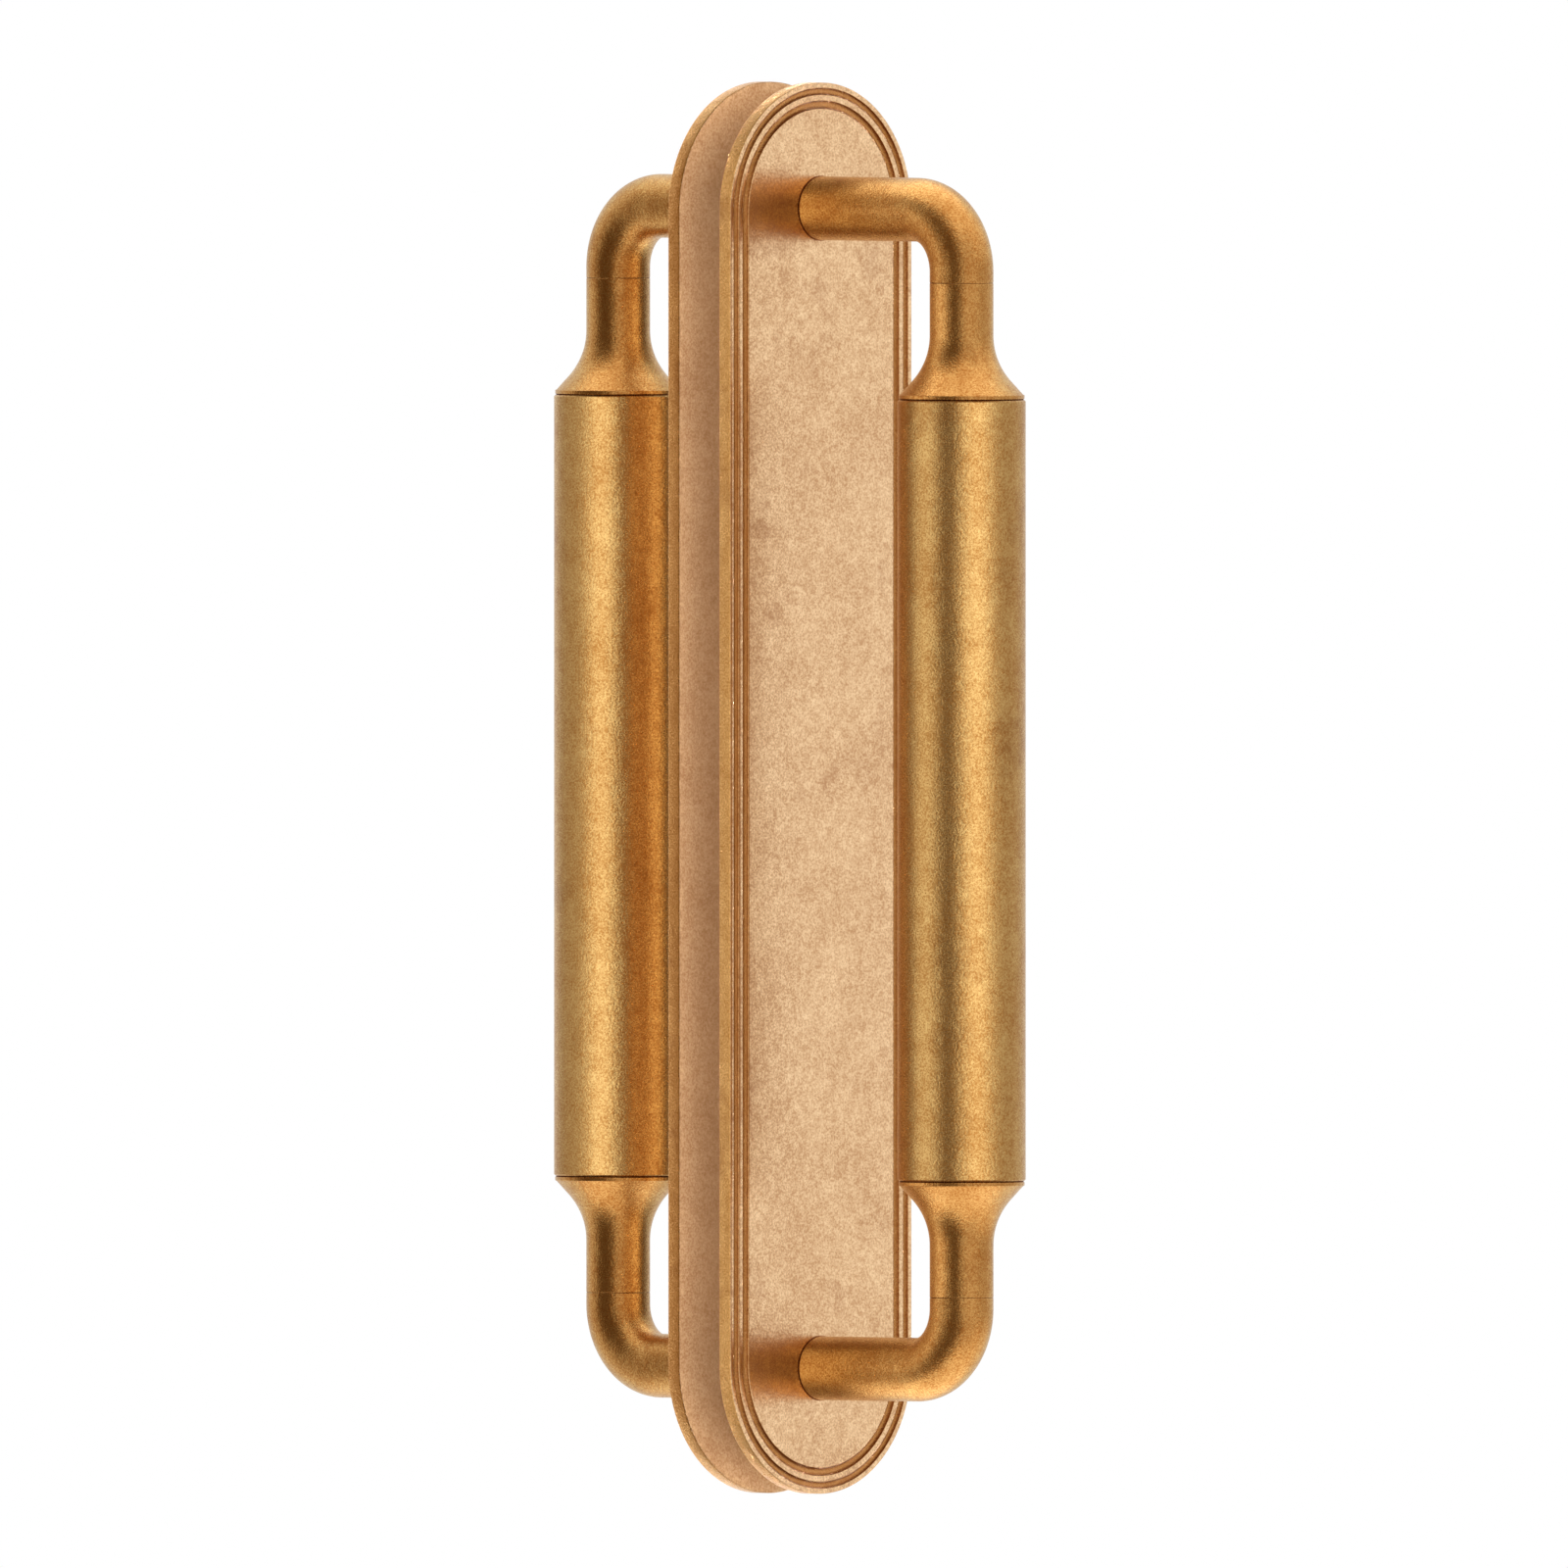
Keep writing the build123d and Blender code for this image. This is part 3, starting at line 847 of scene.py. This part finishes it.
class PULLHANDLE_OT_fasteners(bpy.types.Operator):
    """Build the through studs, the neck studs and the set screws with their threads"""

    bl_idname = "pull_handle.fasteners"
    bl_label = "Studs and Set Screws"

    def execute(self, context):
        settings = context.scene.pull_handle
        fasteners, plate = settings.fasteners, settings.plate
        tree = tree_named("Threaded Rod", threaded_rod_tree)
        foot = plate.inner_face + plate.thickness
        lay = Matrix.Rotation(-math.pi / 2, 4, "X")
        rods = []
        for end in ("upper", "lower"):
            low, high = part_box(f"{end}_through_stud")
            middle = Vector((0.0, low.y, 0.5 * (low.z + high.z)))
            values = {
                "Length": high.y - low.y,
                "Radius": high.x,
                "Pitch": fasteners.through_pitch,
                "Point": fasteners.stud_point,
                "Waist Radius": fasteners.waist_radius,
                "Waist Start": -foot - low.y,
                "Waist End": foot - low.y,
            }
            rods.append((f"{end}_through_stud", values, Matrix.Translation(middle) @ lay))
            for side in ("front", "rear"):
                low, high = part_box(f"{side}_{end}_neck_stud")
                values = {"Radius": high.x, "Pitch": fasteners.neck_pitch, "Point": fasteners.stud_point}
                rods.append(self.upright(f"{side}_{end}_neck_stud", values, low, high))
            low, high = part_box(f"rear_{end}_set_screw")
            values = {
                "Radius": high.x,
                "Pitch": fasteners.screw_pitch,
                "Point": fasteners.screw_point,
                "Socket Width": fasteners.socket_width,
                "Socket Depth": fasteners.socket_depth,
            }
            rods.append(self.upright(f"rear_{end}_set_screw", values, low, high))
        for node, values, place in rods:
            values["Thread Depth"] = THREAD_DEPTH * values["Pitch"]
            values["Material"] = plated_steel(settings.finish)
            piece = result_of(grow(node + "_steel", tree, values))
            piece.data.transform(place)
            put_in(piece, node, sharp_angle=28)
        return {"FINISHED"}

    def upright(self, node, values, low, high):
        """A rod that stands on the lower end of its node's box."""
        values["Length"] = high.z - low.z
        middle = (0.5 * (low.x + high.x), 0.5 * (low.y + high.y), low.z)
        return node, values, Matrix.Translation(middle)


class PULLHANDLE_OT_stage(bpy.types.Operator):
    """Set the floor, the backdrop, the soft boxes and the camera"""

    bl_idname = "pull_handle.stage"
    bl_label = "Studio"

    def execute(self, context):
        scene = context.scene
        studio = scene.pull_handle.studio
        scene.view_settings.view_transform = "Standard"
        self.floor(studio)
        self.world(scene, studio)
        self.lamps(scene, studio)
        self.camera(scene, studio)
        return {"FINISHED"}

    def floor(self, studio):
        """A plain pale floor that keeps the handle's shadow, and is as white as the backdrop elsewhere."""
        disc = turned([(0, 0), (0.5 * studio.floor_radius, 0), (studio.floor_radius, 0)], segments=96)
        disc.transform(Matrix.Translation((0, 0, -studio.floor_level)))
        floor = new_piece("floor", disc)
        material, shader, add = new_material("matt white paint on board")
        fill(shader, {"Base Color": (*studio.floor_colour, 1.0), "Roughness": 0.9})
        rays = add("ShaderNodeLightPath").outputs
        seen = add(MATH, {0: rays["Is Camera Ray"], 1: rays["Is Glossy Ray"]}, "MAXIMUM")
        seen = add(MATH, {0: seen, 1: rays["Is Transmission Ray"]}, "MAXIMUM")
        # Away from the handle, where the lamp over the floor fades, it glows up to the backdrop's white.
        place = add("ShaderNodeTexCoord").outputs["Object"]
        away = add(VECTOR_MATH, {0: place}, "LENGTH").outputs["Value"]
        away = {"Value": away, "From Min": studio.near_floor, "From Max": studio.far_floor}
        away.update({"To Min": studio.floor_glow, "To Max": studio.floor_far_glow})
        away = add(MAP_RANGE, away)
        glow = add(MATH, {0: seen, 1: away}, "MULTIPLY")
        glow = add("ShaderNodeEmission", {"Strength": glow})
        both = add("ShaderNodeAddShader", {0: shader, 1: glow})
        fill(material.node_tree.nodes["Material Output"], {"Surface": both})
        floor.data.materials.append(material)
        # The lamps shine past it, and the metal mirrors the same room below as above.
        floor.visible_shadow = False
        floor.visible_glossy = False

    def world(self, scene, studio):
        """White to the camera. The metal sees a dim warm room, white behind, over and under the handle."""
        world = bpy.data.worlds.new("studio")
        scene.world = world
        world.use_nodes = True
        add = partial(add_node, world.node_tree)
        rays = add("ShaderNodeLightPath")
        view = add("ShaderNodeTexCoord").outputs["Generated"]
        away = (-math.sin(studio.azimuth), math.cos(studio.azimuth), 0.0)
        behind = add(VECTOR_MATH, {0: view, 1: away}, "DOT_PRODUCT")
        above = add(SEPARATE, {"Vector": view}).outputs["Z"]
        above = add(MATH, {0: above}, "ABSOLUTE")
        lit = add(MATH, {0: above, 1: 0.5, 2: behind.outputs["Value"]}, "MULTIPLY_ADD")
        lit = {"Value": lit, "From Min": 0.3, "From Max": 1.0}
        lit = add(MAP_RANGE, lit, interpolation_type="SMOOTHSTEP")
        room = (*(studio.room_level * c for c in studio.room_colour), 1.0)
        backdrop = (studio.backdrop_level,) * 3 + (1.0,)
        shown = add(MIX, {"Factor": lit, 6: room, 7: backdrop}, data_type="RGBA")
        shown = {"Factor": rays.outputs["Is Camera Ray"], 6: shown.outputs[2], 7: (1.0, 1.0, 1.0, 1.0)}
        shown = add(MIX, shown, data_type="RGBA")
        fill(world.node_tree.nodes["Background"], {"Color": shown.outputs[2]})

    def lamps(self, scene, studio):
        """Soft boxes round the handle, each for its own pieces. A box over the level has a twin below it."""
        both, bent, tall = ("front", "rear"), ("post", "neck"), (-45, 45)
        white, warm = (1.0, 1.0, 1.0), studio.warm_light
        # Name, sides, kinds of piece, bearings from the camera and heights in degrees, light level, tint.
        boxes = [
            ("front grip side", "front", "grip", (-95, -41), tall, 0.82, white),
            ("front grip key", "front", "grip", (-8, 64), tall, 0.66, white),
            ("front grip core", "front", "grip", (8, 48), tall, 0.66, white),
            ("front grip far", "front", "grip", (64, 122), tall, 0.4, white),
            ("rear grip key", "rear", "grip", (-70, 0), tall, 0.66, white),
            ("rear grip core", "rear", "grip", (-52, -12), tall, 0.66, white),
            ("rear grip far", "rear", "grip", (-116, -70), tall, 0.4, white),
            ("front key", "front", bent, (-4, 64), (-14, 14), 0.66, warm),
            ("high key", "front", bent, (8, 68), (16, 56), 0.62, warm),
            ("sky", both, bent, (-38, 38), (52, 128), 1.0, warm),
            ("front side", "front", bent, (-86, -44), (-9, 9), 0.8, warm),
            ("front neck side", "front", "neck", (-90, -58), (-30, 30), 0.36, warm),
            ("front far", "front", bent, (66, 126), tall, 0.42, warm),
            ("front high far", "front", bent, (66, 126), (18, 50), 0.26, warm),
            ("front back", "front", bent, (-152, -84), (-58, 58), 0.75, warm),
            ("rear key", "rear", bent, (-14, 16), tall, 0.68, warm),
            ("rear far", "rear", bent, (-128, -86), tall, 0.46, warm),
            ("front plate fill", "front", "plate", (62, 124), tall, 0.98, white),
            ("front plate face", "front", "plate", (-48, 14), tall, 1.2, white),
            ("front plate middle", "front", "plate", (14, 62), tall, 0.75, white),
            ("front plate edge", "front", "plate", (-130, -50), tall, 0.63, white),
            ("rear plate face", "rear", "plate", (184, 238), tall, 1.05, white),
            ("rear plate edge", "rear", "plate", (-130, -50), tall, 0.39, warm),
            ("rear plate back", "rear", "plate", (45, 135), tall, 1.35, studio.gap_light),
            ("front plate back", "front", "plate", (135, 225), tall, 1.35, studio.gap_light),
        ]
        # The plates let these past. A mirrored ray would stop there, so they are only sampled directly.
        past_plates = ("rear plate back", "front plate back")
        blockers = {}
        for side in both:
            blockers[side] = bpy.data.collections.new(f"{side} handle without its plate")
            for piece in self.chosen(scene, side, ("post", "neck", "grip")):
                blockers[side].objects.link(piece)

        distance = studio.lamp_distance
        for name, sides, kinds, bearings, heights, level, tint in boxes:
            span, rise = (math.radians(0.5 * (pair[1] - pair[0])) for pair in (bearings, heights))
            bearing, height = (math.radians(0.5 * (pair[0] + pair[1])) for pair in (bearings, heights))
            for twin, middle in {height: "", -height: " twin"}.items() if height else [(0.0, "")]:
                # Each a little farther off than the last, because two lamps in one plane hide each other.
                distance += 4 * MM
                size = (2 * distance * math.tan(span), 2 * distance * math.tan(rise))
                back = self.direction(studio.azimuth + bearing, twin)
                turn = back.to_track_quat("Z", "Y").to_matrix().to_4x4()
                place = Matrix.Translation(back * distance) @ turn
                lamp = self.lamp(scene, name + middle, place, size, level, self.chosen(scene, sides, kinds))
                lamp.data.color = tint
                if name in past_plates:
                    lamp.light_linking.blocker_collection = blockers[sides]
                    lamp.data.cycles.use_multiple_importance_sampling = False
        place = Matrix.Translation((0.0, 0.0, studio.overhead_height))
        size = (studio.overhead_width, studio.overhead_width)
        self.lamp(scene, "overhead", place, size, studio.overhead_level, [scene.objects["floor"]])

    def chosen(self, scene, sides, kinds):
        """The pieces of those sides and kinds."""
        ours = [piece for piece in scene.objects if piece.name.startswith(sides)]
        return [piece for piece in ours if piece.name.endswith(kinds)]

    def direction(self, azimuth, elevation):
        """The unit direction from the handle at that azimuth, from straight in front, and height."""
        flat = math.cos(elevation)
        return Vector((math.sin(azimuth) * flat, -math.cos(azimuth) * flat, math.sin(elevation)))

    def lamp(self, scene, name, place, size, level, pieces):
        """A flat lamp of even level, unseen by the camera, that lights only the given pieces."""
        light = bpy.data.lights.new(name, "AREA")
        light.shape = "RECTANGLE"
        light.size, light.size_y = size
        # At level 1 it looks as white as a world of strength 1.
        light.energy = level * size[0] * size[1] * math.pi
        holder = bpy.data.objects.new(name, light)
        scene.collection.objects.link(holder)
        holder.matrix_world = place
        holder.visible_camera = False
        receivers = bpy.data.collections.new(name)
        for piece in pieces:
            receivers.objects.link(piece)
        holder.light_linking.receiver_collection = receivers
        return holder

    def camera(self, scene, studio):
        """A level, parallel view from the photograph's side."""
        lens = bpy.data.cameras.new("camera")
        lens.type = "ORTHO"
        lens.ortho_scale = studio.frame_width
        lens.clip_end = 10 * studio.camera_distance
        camera = bpy.data.objects.new("camera", lens)
        scene.collection.objects.link(camera)
        back = self.direction(studio.azimuth, studio.elevation)
        turn = back.to_track_quat("Z", "Y").to_matrix().to_4x4()
        shift = Vector((-studio.shift_right, studio.shift_down, studio.camera_distance))
        camera.matrix_world = turn @ Matrix.Translation(shift)
        scene.camera = camera


class PULLHANDLE_PT_panel(bpy.types.Panel):
    """Buttons for each group of pieces"""

    bl_idname = "PULLHANDLE_PT_panel"
    bl_label = "Pull Handle"
    bl_space_type = "VIEW_3D"
    bl_region_type = "UI"
    bl_category = "Pull Handle"

    def draw(self, context):
        for operator in OPERATORS:
            self.layout.operator(operator.bl_idname)


OPERATORS = (
    PULLHANDLE_OT_plates,
    PULLHANDLE_OT_posts,
    PULLHANDLE_OT_necks,
    PULLHANDLE_OT_grips,
    PULLHANDLE_OT_fasteners,
    PULLHANDLE_OT_stage,
)

CLASSES = (
    PULLHANDLE_PG_plate,
    PULLHANDLE_PG_post,
    PULLHANDLE_PG_neck,
    PULLHANDLE_PG_grip,
    PULLHANDLE_PG_fasteners,
    PULLHANDLE_PG_finish,
    PULLHANDLE_PG_studio,
    PULLHANDLE_PG_settings,
    *OPERATORS,
    PULLHANDLE_PT_panel,
)


def register():
    for cls in CLASSES:
        bpy.utils.register_class(cls)
    bpy.types.Scene.pull_handle = bpy.props.PointerProperty(type=PULLHANDLE_PG_settings)


def unregister():
    del bpy.types.Scene.pull_handle
    for cls in reversed(CLASSES):
        bpy.utils.unregister_class(cls)


def main():
    register()
    for operator in OPERATORS:
        group, name = operator.bl_idname.split(".")
        getattr(getattr(bpy.ops, group), name)()


if __name__ == "__main__":
    main()
